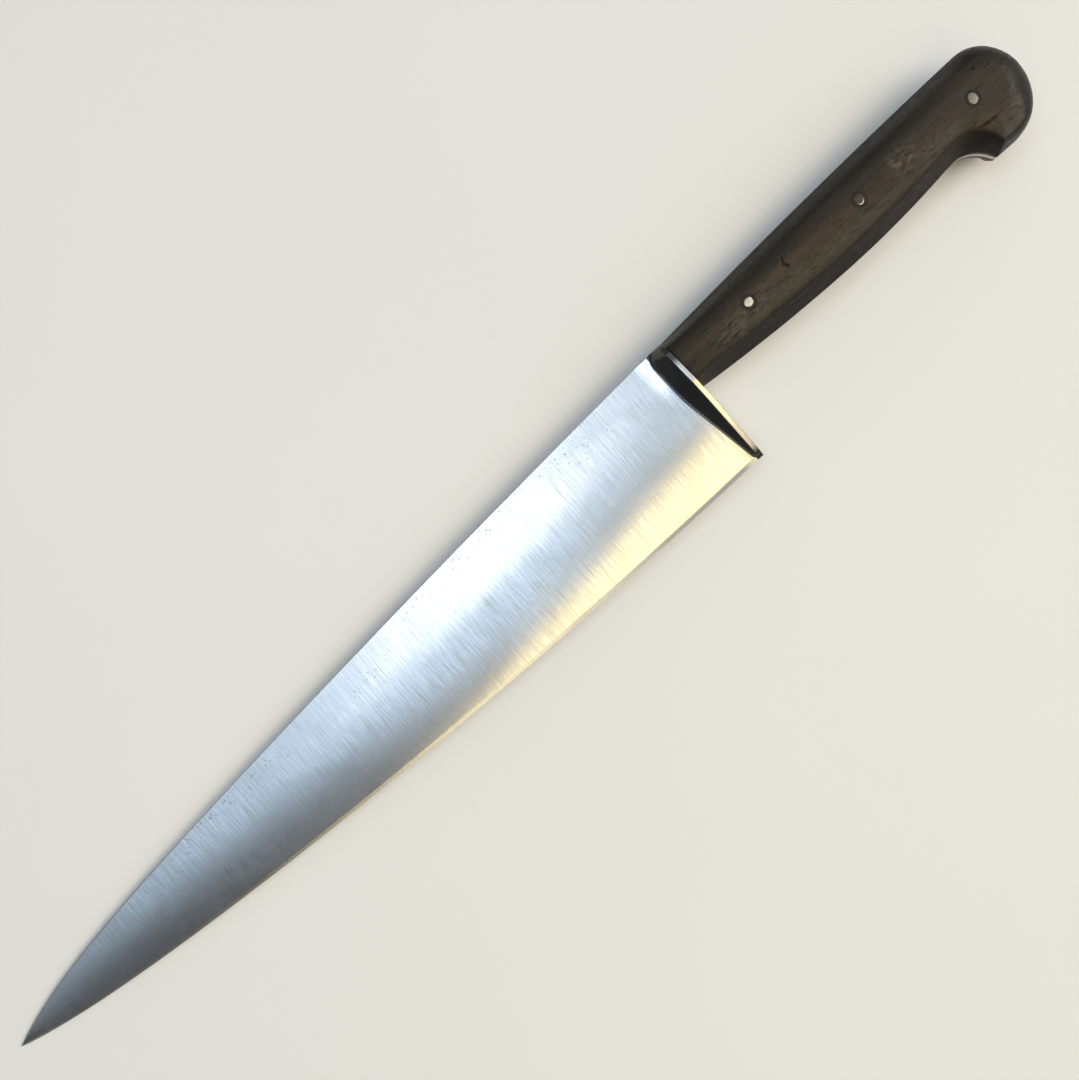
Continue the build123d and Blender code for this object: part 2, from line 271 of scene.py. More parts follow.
def blade_half_thickness(from_tip, y):
    """Half the blade's thickness: two slightly bowed faces and a sharpening bevel."""
    top = spine_height(from_tip)
    bottom = edge_height(from_tip)
    bevel_top = bevel_top_height(from_tip)
    share = (y - bevel_top) / (top - bevel_top)
    half_bevel = along_blade(BEVEL_THICKNESS, from_tip) / 2
    half_spine = along_blade(SPINE_THICKNESS, from_tip) / 2
    bulge = along_blade(FACE_BULGE, from_tip) * 4 * share * (1 - share)
    face = half_bevel + (half_spine - half_bevel) * share + bulge
    first_wave = np.sin(from_tip * WAVES_ALONG[0] + y * WAVE_SLANT)
    second_wave = np.sin(from_tip * WAVES_ALONG[1] + WAVE_START)
    face += FACE_WAVES * first_wave * second_wave
    bevel_share = np.clip((y - bottom) / (bevel_top - bottom), 0, 1)
    bevel = EDGE_THICKNESS / 2 + (half_bevel - EDGE_THICKNESS / 2) * bevel_share
    return np.where(share > 0, face, bevel)


def bolster_half_thickness(behind, y, face):
    """Half the thickness around the bolster. behind is measured from its rear face, and is negative."""
    taper = (HALF_HANDLE - HEEL_HALF_THICKNESS) / (FULL_THICKNESS_ABOVE - HEEL_HEIGHT - HEEL_CHAMFER)
    tapered = HALF_HANDLE - taper * (FULL_THICKNESS_ABOVE - y)
    full = smooth_min(HALF_HANDLE + 0 * y, tapered, TAPER_SOFTNESS)
    past_corner = np.clip(y - (BOLSTER_TOP - SPINE_CORNER), 0, SPINE_CORNER)
    corner = HALF_HANDLE - SPINE_CORNER + np.sqrt(np.maximum(SPINE_CORNER**2 - past_corner**2, 0))
    heel = HEEL_TIP_HALF + (HEEL_HALF_THICKNESS - HEEL_TIP_HALF) * (y - HEEL_HEIGHT) / HEEL_CHAMFER
    full = smooth_min(full, corner, CORNER_SOFTNESS)
    full = smooth_min(full, np.maximum(heel, HEEL_TIP_HALF), HEEL_SOFTNESS)
    slope = full + (behind + LAND_WIDTH) * SLOPE
    down = smooth_step(BOLSTER_TOP, HEEL_HEIGHT, y)
    flare_start = FLARE_START[1] + (FLARE_START[0] - FLARE_START[1]) * down
    face = face + FLARE_CURVE * np.maximum(behind + flare_start, 0) ** 2
    blend = FILLET_BLEND[1] + (FILLET_BLEND[0] - FILLET_BLEND[1]) * down
    body = smooth_max(face, smooth_min(slope, full, RIDGE_SOFTNESS), blend)
    past_rear = np.clip(behind + REAR_ROUNDING, 0, REAR_ROUNDING)
    return body - (REAR_ROUNDING - np.sqrt(REAR_ROUNDING**2 - past_rear**2))


def place(x, y, z):
    """Points of the knife's own coordinates, in the CAD frame."""
    return np.stack([BOLSTER_X + x, AXIS_Y + y, MID_Z + z], axis=-1)


def swept_faces(rings, count):
    """Quads between closed rings of count points each, numbered ring after ring."""
    ring, point = np.meshgrid(np.arange(rings - 1), np.arange(count), indexing="ij")
    near = ring * count + point
    beside = ring * count + (point + 1) % count
    return np.stack([near, near + count, beside + count, beside], axis=-1).reshape(-1, 4)


def mesh_piece(name, points, faces, uv=None, slots=None, masks=None):
    """A mesh object on the knife. uv and masks hold a value for each point, slots one for each face."""
    mesh = bpy.data.meshes.new(name)
    mesh.from_pydata(points.tolist(), [], [list(face) for face in faces])
    mesh.polygons.foreach_set("use_smooth", [True] * len(mesh.polygons))
    mesh.set_sharp_from_angle(angle=SHARP_ANGLE)
    if slots is not None:
        mesh.polygons.foreach_set("material_index", slots)
    if uv is not None:
        layer = mesh.uv_layers.new(name="UVMap")
        corners = np.empty(len(mesh.loops), dtype=np.int32)
        mesh.loops.foreach_get("vertex_index", corners)
        layer.data.foreach_set("uv", uv.astype(np.float32)[corners].ravel())
    for mask, values in (masks or {}).items():
        layer = mesh.attributes.new(mask, "FLOAT", "POINT")
        layer.data.foreach_set("value", values.astype(np.float32))
    piece = bpy.data.objects.new(name, mesh)
    bpy.context.collection.objects.link(piece)
    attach(piece, "root")
    return piece


def blade_rows():
    """Shares of the height from the spine to the bevel: close together at the spine's corner."""
    low, high = MIDDLE_SHARES
    near_spine = low * np.linspace(0, 1, SPINE_ROWS) ** 2
    middle = np.linspace(low, high, MIDDLE_ROWS)[1:]
    near_bevel = np.linspace(high, 1.0, BEVEL_ROWS)[1:]
    return np.concatenate([near_spine, middle, near_bevel])


def blade_grid():
    """A grid over the side view of blade and bolster, from the spine down to the edge.

    Gives x, y, half the thickness, the depth below the spine and where the bolster rises.
    """
    plain = BLADE_LENGTH - BOLSTER_REACH
    from_tip = np.concatenate([
        plain * np.linspace(0, 1, PLAIN_STATIONS) ** STATION_CROWDING,
        np.linspace(plain, BLADE_LENGTH, BOLSTER_STATIONS)[1:],
    ])[:, None]
    top = spine_height(from_tip)
    lift = smooth_step(BLADE_LENGTH - SPINE_LIFT[0], BLADE_LENGTH - SPINE_LIFT[1], from_tip)
    top += (BOLSTER_TOP - top) * lift
    bevel_top = bevel_top_height(from_tip)
    face_rows = top + (bevel_top - top) * blade_rows()
    bevel_shares = np.linspace(0, 1, BEVEL_STEPS + 1)[1:]
    bevel_rows = bevel_top + (edge_height(from_tip) - bevel_top) * bevel_shares
    y = np.concatenate([face_rows, bevel_rows], axis=1)
    behind = from_tip - BLADE_LENGTH
    x = behind - y * REAR_LEAN * smooth_step(-LEAN_FADE, -BOLSTER_REACH, behind)
    face = blade_half_thickness(from_tip, y)
    half = bolster_half_thickness(behind, y, face)
    depth = np.clip(top - y, 0, SPINE_ROUNDING)
    rounding = SPINE_ROUNDING - np.sqrt(SPINE_ROUNDING**2 - (SPINE_ROUNDING - depth) ** 2)
    half = half - np.minimum(rounding, half * (1 - THINNEST_SPINE))
    return x, y, half, top - y, half - face > BOLSTER_STARTS


def blade_cap(first, rows):
    """The polygons that close one end of the blade's skin, where first is that end's first point."""
    over_spine = len(SPINE_STEPS)
    right = first + over_spine + np.arange(rows)
    left = first + over_spine + 2 * rows - 1 - np.arange(rows)
    cap = [list(range(first, first + over_spine)) + [int(right[0]), int(left[0])]]
    for k in range(rows - 1):
        cap.append([int(point) for point in (left[k], right[k], right[k + 1], left[k + 1])])
    return cap


def make_blade():
    """Blade and bolster: one closed skin, swept from the tip to the bolster's rear face."""
    x, y, half, depth, raised = blade_grid()
    rows = y.shape[1]
    over_spine = len(SPINE_STEPS)
    ring_x = np.concatenate([np.repeat(x[:, :1], over_spine, axis=1), x, x[:, ::-1]], axis=1)
    ring_y = np.concatenate([np.repeat(y[:, :1], over_spine, axis=1), y, y[:, ::-1]], axis=1)
    ring_z = np.concatenate([half[:, :1] * SPINE_STEPS, -half, half[:, ::-1]], axis=1)
    rings, count = ring_x.shape
    below_spine = np.concatenate([np.zeros((rings, over_spine)), depth, depth[:, ::-1]], axis=1)

    # Material slots: 0 for the faces, 1 for the bolster, 2 for the bevel
    row_of = np.concatenate([np.zeros(over_spine, int), np.arange(rows), np.arange(rows)[::-1]])
    face_row = np.minimum(row_of, np.roll(row_of, -1))
    slots = np.where(face_row >= rows - 1 - BEVEL_STEPS, 2, 0) + np.zeros((rings - 1, 1), int)
    slots = np.where(raised[1:, face_row], 1, slots).ravel().tolist()
    tip_cap = blade_cap(0, rows)
    rear_cap = [polygon[::-1] for polygon in blade_cap((rings - 1) * count, rows)]
    faces = swept_faces(rings, count).tolist() + tip_cap + rear_cap
    slots += [0] * len(tip_cap) + [1] * len(rear_cap)

    points = place(ring_x, ring_y, ring_z).reshape(-1, 3)
    uv = np.stack([ring_x, below_spine], axis=-1).reshape(-1, 2)
    piece = mesh_piece("blade_and_bolster", points, faces, uv=uv, slots=slots)
    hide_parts("blade_forging")
    for material in (blade_steel(), bolster_steel(), bevel_steel()):
        piece.data.materials.append(material)
    return piece


# ---- Handle -------------------------------------------------------------------------------------


def circle_through(first, middle, last):
    """Centre and radius of the circle through three points."""
    (ax, ay), (bx, by), (cx, cy) = first, middle, last
    d = 2 * (ax * (by - cy) + bx * (cy - ay) + cx * (ay - by))
    a, b, c = (px * px + py * py for px, py in (first, middle, last))
    centre = (
        (a * (by - cy) + b * (cy - ay) + c * (ay - by)) / d,
        (a * (cx - bx) + b * (ax - cx) + c * (bx - ax)) / d,
    )
    return centre, math.dist(centre, first)


def arc_height(x, centre, radius, side):
    """Height of the upper (side 1) or lower (side -1) half of a circle, level beyond its ends."""
    return centre[1] + side * np.sqrt(np.maximum(radius**2 - (x - centre[0]) ** 2, 0))


def handle_top(x):
    """Height of the handle's top line: a long shallow arc, the crown and the round of the butt."""
    away = (math.cos(CROWN_END_ANGLE), math.sin(CROWN_END_ANGLE))
    join = (CROWN_CENTRE[0] + CROWN_RADIUS * away[0], CROWN_CENTRE[1] + CROWN_RADIUS * away[1])
    chord = (join[0] - FRONT_TOP[0], join[1] - FRONT_TOP[1])
    radius = (chord[0] ** 2 + chord[1] ** 2) / (2 * (chord[0] * away[0] + chord[1] * away[1]))
    centre = (join[0] - radius * away[0], join[1] - radius * away[1])
    butt_start = BUTT_CENTRE[0] + BUTT_RADIUS * math.cos(CROWN_ANGLE)
    crown = arc_height(x, CROWN_CENTRE, CROWN_RADIUS, 1)
    butt = arc_height(x, BUTT_CENTRE, BUTT_RADIUS, 1)
    long_arc = arc_height(x, centre, radius, 1)
    return np.where(x < join[0], long_arc, np.where(x < butt_start, crown, butt))


def handle_bottom(x):
    """Height of the handle's underside: the belly, the hook and the round of the butt."""
    front_drop = FRONT_BOTTOM[1] - BELLY[1]
    rear_rise = HOOK_START[1] - BELLY[1]
    front_radius = ((BELLY[0] - FRONT_BOTTOM[0]) ** 2 + front_drop**2) / (2 * front_drop)
    rear_radius = ((HOOK_START[0] - BELLY[0]) ** 2 + rear_rise**2) / (2 * rear_rise)
    front = arc_height(x, (BELLY[0], BELLY[1] + front_radius), front_radius, -1)
    rear = arc_height(x, (BELLY[0], BELLY[1] + rear_radius), rear_radius, -1)
    belly = np.where(x < BELLY[0], front, rear)
    hook_centre, hook_radius = circle_through(HOOK_START, HOOK_MIDDLE, HOOK_TIP)
    hook = arc_height(np.maximum(x, hook_centre[0]), hook_centre, hook_radius, 1)
    butt = arc_height(np.maximum(x, BUTT_CENTRE[0]), BUTT_CENTRE, BUTT_RADIUS, -1)
    return smooth_max(smooth_min(belly, hook, HOOK_START_BLEND), butt, HOOK_TIP_BLEND)


def handle_columns(count):
    """Distances along the handle, crowded at its front end and round the butt."""
    front = FRONT_COLUMNS * FRONT_EASING
    along = FRONT_EASING + (HANDLE_LENGTH - FRONT_EASING) * np.sin(np.linspace(0, math.pi / 2, count))
    return np.concatenate([front, along])[:, None]


def handle_grid(columns, rows):
    """A grid over the handle's side view. Its front columns lean with the bolster."""
    along = handle_columns(columns)
    even = np.linspace(0, 1, rows)
    share = (even + 0.5 - 0.5 * np.cos(math.pi * even)) / 2
    lean = REAR_LEAN * (1 - smooth_step(0, FRONT_LEAN_FADE, along))
    bottom_x = along - handle_bottom(along) * lean
    top_x = along - handle_top(along) * lean
    bottom = handle_bottom(bottom_x)
    top = handle_top(top_x)
    y = bottom + (top - bottom) * share
    x = along - y * lean
    return x, y, share, along


def distance_to_line(x, y, line):
    """Distance from each point of a grid to a line of straight pieces."""
    nearest = np.full(x.shape, 1.0)
    for (ax, ay), (bx, by) in zip(line[:-1], line[1:]):
        dx, dy = bx - ax, by - ay
        share = np.clip(((x - ax) * dx + (y - ay) * dy) / (dx * dx + dy * dy), 0, 1)
        nearest = np.minimum(nearest, np.hypot(x - ax - share * dx, y - ay - share * dy))
    return nearest


def handle_border():
    """The handle's side outline as a line, from its front bottom corner round the butt to the top one."""
    x = np.concatenate([[BORDER_START], handle_columns(BORDER_COLUMNS)[:, 0]])
    bottom = np.stack([x, handle_bottom(x)], axis=-1)
    top = np.stack([x, handle_top(x)], axis=-1)[::-1]
    return np.concatenate([bottom, top[1:]])


def ridge_inset(x, pair):
    """How far the ridge lies inside the outline, along the handle."""
    start, grip, reach = pair
    return start + (grip - start) * (1 - np.exp(-np.maximum(x, 0) / reach))


def scale_height(x, y, share, along):
    """Height of a scale's outer surface above the mid-plane."""
    inside = distance_to_line(x, y, handle_border())
    upper = smooth_step(*UPPER_FROM, share)
    at_hook = smooth_step(*HOOK_REACH, x)
    down_hook = smooth_step(*HOOK_DEPTH, y)
    inset = ridge_inset(x, LOWER_INSET) * (1 - upper) + ridge_inset(x, UPPER_INSET) * upper
    hook_change = HOOK_INSET[0] + (HOOK_INSET[1] - HOOK_INSET[0]) * down_hook
    inset = inset * (1 + at_hook * hook_change * (1 - upper))
    at_butt = smooth_step(*BUTT_REACH, x)
    worn = np.maximum(np.maximum(upper, at_hook * down_hook), at_butt)
    wear = RIDGE_WEAR[0] + (RIDGE_WEAR[1] - RIDGE_WEAR[0]) * worn
    climb = np.maximum(inside / inset, 0) ** (1 - BUTT_ROUNDNESS * at_butt)
    side = SIDE_WALL + (RIDGE_HEIGHT - SIDE_WALL) * climb
    shoulder = RIDGE_HEIGHT + SHOULDER_SLOPE * (inside - inset)
    crown = HALF_HANDLE - FACE_CROWN * (2 * share - 1) ** 2
    height = smooth_min(smooth_min(side, shoulder, wear), crown, FACE_SOFTNESS)
    before_easing = np.clip(FRONT_EASING - along, 0, FRONT_EASING)
    return height - (FRONT_EASING - np.sqrt(FRONT_EASING**2 - before_easing**2))


def cut_depth(x, y, start, end, width, depth):
    """Depth of a cut or dent that runs from start to end."""
    away = distance_to_line(x, y, [start, end]) / width
    return depth * np.exp(-away * away)


def spot(x, y, centre, reach_x, reach_y):
    """1 at centre, and a soft fall to 0 around it."""
    return np.exp(-(((x - centre[0]) / reach_x) ** 2) - ((y - centre[1]) / reach_y) ** 2)


def tang_half_thickness(x):
    """Half the tang's thickness: it tapers towards the butt."""
    share = np.clip(x / HANDLE_LENGTH, 0, 1)
    return (TANG_THICKNESS[1] + (TANG_THICKNESS[0] - TANG_THICKNESS[1]) * share) / 2


def make_tang():
    """The tang: a tapered plate with the handle's outline, which shows all round between the scales."""
    x, y, _, _ = handle_grid(*TANG_GRID)
    half = tang_half_thickness(x)
    ring_x = np.concatenate([x, x[:, ::-1]], axis=1)
    ring_y = np.concatenate([y, y[:, ::-1]], axis=1)
    ring_z = np.concatenate([half, -half[:, ::-1]], axis=1)
    rings, count = ring_x.shape
    faces = swept_faces(rings, count)[:, ::-1].tolist()
    faces += [list(range(count)), list(range((rings - 1) * count, rings * count))[::-1]]
    points = place(ring_x, ring_y, ring_z).reshape(-1, 3)
    uv = np.stack([ring_x, ring_y], axis=-1).reshape(-1, 2)
    piece = mesh_piece("tang", points, faces, uv=uv)
    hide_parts("blade_forging")
    piece.data.materials.append(tang_steel())
    return piece


def make_scale(name, side, grid, marks, wood):
    """One handle scale: an eased wall at the tang, a sloping side, a ridge and a crowned face."""
    x, y, share, along = handle_grid(*grid)
    height = scale_height(x, y, share, along)
    scar = np.zeros(x.shape)
    for start, end, width, depth in marks:
        scar = np.maximum(scar, cut_depth(x, y, start, end, width, depth))
    height = height - scar
    inner = tang_half_thickness(x)

    wall_rise = WALL_RISE[None, :] * INNER_EASING
    wall_inset = WALL_INSET[None, :] * INNER_EASING
    wall_steps = len(WALL_RISE)
    low_x = np.repeat(x[:, :1], wall_steps, axis=1)
    top_x = np.repeat(x[:, -1:], wall_steps, axis=1)
    ring_x = np.concatenate([low_x, x, top_x], axis=1)
    ring_y = np.concatenate([y[:, :1] + wall_inset, y, y[:, -1:] - wall_inset[:, ::-1]], axis=1)
    low_z = inner[:, :1] + wall_rise
    top_z = inner[:, -1:] + wall_rise[:, ::-1]
    ring_z = np.concatenate([low_z, height, top_z], axis=1)
    rings, count = ring_x.shape
    faces = swept_faces(rings, count)
    if side < 0:
        faces = faces[:, ::-1]
    faces = faces.tolist()
    front = list(range(count))
    butt = list(range((rings - 1) * count, rings * count))
    faces += [front[::-1], butt] if side < 0 else [front, butt[::-1]]
    points = place(ring_x, ring_y, side * ring_z).reshape(-1, 3)

    def padded(values):
        """The walls take the border's value."""
        low = np.repeat(values[:, :1], wall_steps, axis=1)
        high = np.repeat(values[:, -1:], wall_steps, axis=1)
        return np.concatenate([low, values, high], axis=1).ravel()

    rubbed = sum(strength * spot(x, y, centre, *reach) for centre, reach, strength in RUBBED)
    rubbed = np.clip(rubbed, 0, 1)
    # Grime along the bolster and round the pins, and a painted shade that deepens with each cut's depth
    grime_and_cut_shade = np.exp(-along / FRONT_GRIME) + scar / FULL_CUT_SHADE_DEPTH
    for k, pin in enumerate(PINS):
        from_pin = np.hypot(x - FIRST_PIN - PIN_PITCH * k, y - pin[1])
        grime_and_cut_shade += np.exp(-(((from_pin - PIN_RING) / PIN_RING_WIDTH) ** 2))
    masks = {
        "rubbed": padded(rubbed if side > 0 else HIDDEN_WEAR * rubbed),
        "grime_and_cut_shade": padded(np.clip(grime_and_cut_shade, 0, 1)),
        # This mask puts a painted sheen on the face and a painted shade on the sides
        "face": padded(smooth_step(*FACE_HEIGHTS, height)),
    }
    piece = mesh_piece(name, points, faces, masks=masks)
    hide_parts(name)
    piece.data.materials.append(wood)
    return piece


def make_pin(index):
    """One pin through the handle, its left head peened into a low uneven dome."""
    name, height, reach_x, reach_y, turn, bright_side = PINS[index]
    centre_x = FIRST_PIN + index * PIN_PITCH
    around = np.linspace(0, 2 * math.pi, HEAD_POINTS, endpoint=False)
    uneven = 1 + UNEVENNESS[0] * np.sin(3 * around + index)
    uneven = uneven + UNEVENNESS[1] * np.sin(5 * around + 2 * index)
    flat = HALF_HANDLE - PIN_UNDER_WOOD
    profile = [(-flat, FOOT_SHARE), (-flat + HEAD_START / 2, 1.0), (flat - HEAD_START, 1.0)]
    for step in range(1, HEAD_STEPS):
        reach = math.cos(step / HEAD_STEPS * math.pi / 2)
        rise = (PIN_DOME + HEAD_START) * (1 - reach**DOME_POWER)
        profile.append((flat - HEAD_START + rise, reach))
    rings = []
    for z, reach in profile:
        local_x = reach * reach_x * uneven * np.cos(around)
        local_y = reach * reach_y * uneven * np.sin(around)
        x = centre_x + local_x * math.cos(turn) - local_y * math.sin(turn)
        y = height + local_x * math.sin(turn) + local_y * math.cos(turn)
        rings.append(place(x, y, z + 0 * x))
    points = np.concatenate(rings)
    count = len(around)
    faces = swept_faces(len(profile), count)[:, ::-1].tolist()
    faces += [list(range(count))[::-1], list(range(len(points) - count, len(points)))]
    # A painted highlight round the rim of the head, brightest on one side
    worn = RIM_HIGHLIGHT[0] + RIM_HIGHLIGHT[1] * np.cos(around + turn - bright_side)
    rim = np.concatenate([reach * worn for _, reach in profile])
    piece = mesh_piece(name, points, faces, masks={"rim": rim})
    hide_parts(name)
    piece.data.materials.append(pin_metal(index))
    return piece


# ---- Materials ----------------------------------------------------------------------------------

STEEL_STAIN = (0.32, 0.30, 0.28, 1)
STEEL_DULL = (0.38, 0.38, 0.38, 1)
STEEL_PIT = (0.14, 0.13, 0.13, 1)
LINE_DEPTH = 0.0000015                  # ground lines, in metres
PIT_DEPTH = 0.000012
PITS_PER_METRE = 1350
PIT_WOBBLE = 0.0005                     # pushes the pits out of round
PITS_BELOW_SPINE = (0.002, 0.018)       # they thin out between these depths
# The bolster darkens with patina at its heel and spine ends, and with a painted dark reflection on its
# slope
PATINA_AND_DARK_REFLECTION = (0.035, 0.030, 0.026, 1)
PATINA_AND_REFLECTION_STRENGTH = 0.93
HEEL_PATINA = (0.0012, 0.0045)          # it fades between these heights above the heel,
SPINE_PATINA = (0.0085, 0.0125)         # starts between these above the handle's axis
SLOPE_DARK_REFLECTION = (-0.72, -0.45)           # and a painted dark reflection covers faces that look this much towards the tip

WOOD_BLACK = (0.0030, 0.0020, 0.0015, 1)
WOOD_DARK = (0.024, 0.016, 0.009, 1)
WOOD_BROWN = (0.056, 0.029, 0.011, 1)
# The face's colours: its grey is a painted sheen
FACE_BLACK = (0.015, 0.0120, 0.0070, 1)
FACE_SHEEN_GREY = (0.046, 0.037, 0.021, 1)
RUBBED_WOOD = (0.135, 0.118, 0.092, 1)
# Near-black for pores and grime, and for the painted shade in the cuts
GRIME_AND_SHADE = (0.004, 0.003, 0.002, 1)
GRAIN_DEPTH = 0.00009
PORE_DEPTH = 0.00005
SCUFF_DEPTH = 0.00004

PIN_MIDDLES = [(0.50, 0.46, 0.39, 1), (0.06, 0.052, 0.043, 1), (0.20, 0.185, 0.15, 1)]
# Where the painted highlight starts on each pin's rim, and its colour
PIN_HIGHLIGHT_STARTS = [0.55, 0.60, 0.72]
PIN_HIGHLIGHT_COLOUR = (0.66, 0.61, 0.52, 1)
PIN_SPECK = (0.16, 0.13, 0.10, 1)
PIN_SPECKS_PER_METRE = 2600
PIN_SCRATCH_DEPTH = 0.00002


def add(tree, kind, inputs=None, **settings):
    """A shader node. Its inputs are given by name or number, as a value or another node's output."""
    made = tree.nodes.new(kind)
    for name, value in settings.items():
        setattr(made, name, value)
    for name, value in (inputs or {}).items():
        if isinstance(value, bpy.types.NodeSocket):
            tree.links.new(value, made.inputs[name])
        else:
            made.inputs[name].default_value = value
    return made


def arithmetic(tree, operation, a, b=0.0, clamp=False):
    """One sum on two values or outputs."""
    return add(tree, "ShaderNodeMath", {0: a, 1: b}, operation=operation, use_clamp=clamp).outputs[0]


def between(tree, value, low, high, to_low=0.0, to_high=1.0):
    """value taken from the range low to high smoothly over to another range."""
    inputs = {0: value, 1: low, 2: high, 3: to_low, 4: to_high}
    return add(tree, "ShaderNodeMapRange", inputs, interpolation_type="SMOOTHSTEP").outputs[0]


def blend_colour(tree, share, a, b, kind="MIX"):
    """Two colours mixed, share of the second."""
    made = add(tree, "ShaderNodeMix", data_type="RGBA", blend_type=kind)
    for socket, value in ((made.inputs[0], share), (made.inputs[6], a), (made.inputs[7], b)):
        if isinstance(value, bpy.types.NodeSocket):
            tree.links.new(value, socket)
        else:
            socket.default_value = value
    return made.outputs[2]


def noise(tree, vector, per_metre, detail=3.0, roughness=0.5, distortion=0.0, offset=0.0):
    """Noise with its own number of waves per metre along x, y and z."""
    place_at = {"Vector": vector, "Scale": per_metre, "Location": (offset, offset * 0.7, offset * 1.3)}
    mapped = add(tree, "ShaderNodeMapping", place_at).outputs[0]
    inputs = {"Vector": mapped, "Scale": 1.0, "Detail": detail, "Roughness": roughness}
    made = add(tree, "ShaderNodeTexNoise", {**inputs, "Distortion": distortion})
    return made.outputs["Fac"]


def cells(tree, vector, per_metre):
    """Many scattered points. Its outputs are the Distance to the nearest and that point's own Color."""
    mapped = add(tree, "ShaderNodeMapping", {"Vector": vector, "Scale": (per_metre,) * 3}).outputs[0]
    return add(tree, "ShaderNodeTexVoronoi", {"Vector": mapped, "Scale": 1.0}).outputs


def new_material(name):
    """A material with a shader and an output: gives it, its tree, its shader and its coordinates."""
    material = bpy.data.materials.new(name)
    material.use_nodes = True
    tree = material.node_tree
    tree.nodes.clear()
    shader = add(tree, "ShaderNodeBsdfPrincipled")
    add(tree, "ShaderNodeOutputMaterial", {"Surface": shader.outputs[0]})
    coordinates = add(tree, "ShaderNodeTexCoord").outputs["Object"]
    return material, tree, shader, coordinates


def connect(tree, shader, **outputs):
    """Links outputs to the shader's sockets, written with _ for each space."""
    for name, output in outputs.items():
        tree.links.new(output, shader.inputs[name.replace("_", " ")])


def bump(tree, height, distance, under=None):
    """A bump normal from a height. under is an earlier bump to build on."""
    inputs = {"Height": height, "Distance": distance, "Strength": 1.0}
    if under is not None:
        inputs["Normal"] = under
    return add(tree, "ShaderNodeBump", inputs).outputs[0]


def pitting(tree, coordinates, uv):
    """Small pits that crowd together near the spine: 1 inside a pit and 0 between them."""
    below_spine = add(tree, "ShaderNodeSeparateXYZ", {"Vector": uv}).outputs[1]
    near_spine = between(tree, below_spine, *PITS_BELOW_SPINE, 1.0, 0.0)
    where = noise(tree, coordinates, (45, 110, 60), detail=4.0, offset=1.9)
    crowd = arithmetic(tree, "MULTIPLY", between(tree, where, 0.40, 0.66), near_spine)
    crowd = arithmetic(tree, "ADD", arithmetic(tree, "MULTIPLY", crowd, 0.46), 0.06)
    wobble = add(tree, "ShaderNodeTexNoise", {"Vector": coordinates, "Scale": 1500.0}).outputs["Color"]
    by_wobble = {0: wobble, "Scale": PIT_WOBBLE}
    shift = add(tree, "ShaderNodeVectorMath", by_wobble, operation="SCALE").outputs[0]
    spread = add(tree, "ShaderNodeVectorMath", {0: coordinates, 1: shift}, operation="ADD").outputs[0]
    scattered = cells(tree, spread, PITS_PER_METRE)
    chance = add(tree, "ShaderNodeSeparateColor", {"Color": scattered["Color"]}).outputs[0]
    size = arithmetic(tree, "MULTIPLY", crowd, arithmetic(tree, "POWER", chance, 2.2))
    return between(tree, arithmetic(tree, "SUBTRACT", size, scattered["Distance"]), -0.04, 0.08)


def steel(name, light, dark, roughness, anisotropy, streaks, pitted=False):
    """Ground carbon steel: fine lines across the blade, a cloudy patina and, if pitted, dull pits."""
    material, tree, shader, coordinates = new_material(name)
    uv = add(tree, "ShaderNodeUVMap", uv_map="UVMap").outputs[0]
    coarse_lines = noise(tree, uv, (2000, 80, 1), detail=2.0, roughness=0.6)
    fine_lines = noise(tree, uv, (3300, 150, 1), detail=1.0, roughness=0.5, offset=3.1)
    clouds = noise(tree, coordinates, (30, 60, 30), detail=4.0, roughness=0.6, distortion=0.6)
    blotches = noise(tree, coordinates, (150, 210, 150), detail=6.0, roughness=0.7, offset=7.7)
    colour = blend_colour(tree, between(tree, clouds, 0.35, 0.7), light, dark)
    stain = arithmetic(tree, "MULTIPLY", between(tree, blotches, 0.56, 0.74), 0.22)
    colour = blend_colour(tree, stain, colour, STEEL_STAIN)
    lines = arithmetic(tree, "ADD", arithmetic(tree, "MULTIPLY", fine_lines, 0.9), coarse_lines)
    lines = arithmetic(tree, "SUBTRACT", lines, 0.95)
    rough = arithmetic(tree, "ADD", arithmetic(tree, "MULTIPLY", lines, 0.10 * streaks), roughness)
    rough = arithmetic(tree, "ADD", rough, arithmetic(tree, "MULTIPLY", stain, 0.08))
    lifted = arithmetic(tree, "ADD", lines, 0.25)
    dulled = arithmetic(tree, "MULTIPLY", lifted, 1.2 * streaks, clamp=True)
    colour = blend_colour(tree, dulled, colour, STEEL_DULL)
    normal = bump(tree, lines, LINE_DEPTH * streaks)
    if pitted:
        pit = pitting(tree, coordinates, uv)
        colour = blend_colour(tree, arithmetic(tree, "MULTIPLY", pit, 0.40), colour, STEEL_PIT)
        rough = arithmetic(tree, "ADD", rough, arithmetic(tree, "MULTIPLY", pit, 0.06))
        normal = bump(tree, pit, -PIT_DEPTH, under=normal)
    tangent = add(tree, "ShaderNodeTangent", direction_type="UV_MAP", uv_map="UVMap").outputs[0]
    connect(tree, shader, Base_Color=colour, Roughness=rough, Normal=normal, Tangent=tangent)
    shader.inputs["Metallic"].default_value = 1.0
    shader.inputs["Anisotropic"].default_value = anisotropy
    return material


def blade_steel():
    """The blade's faces."""
    return steel(
        "ground_steel",
        light=(0.66, 0.68, 0.70, 1),
        dark=(0.54, 0.56, 0.58, 1),
        roughness=0.17,
        anisotropy=0.9,
        streaks=1.0,
        pitted=True,
    )


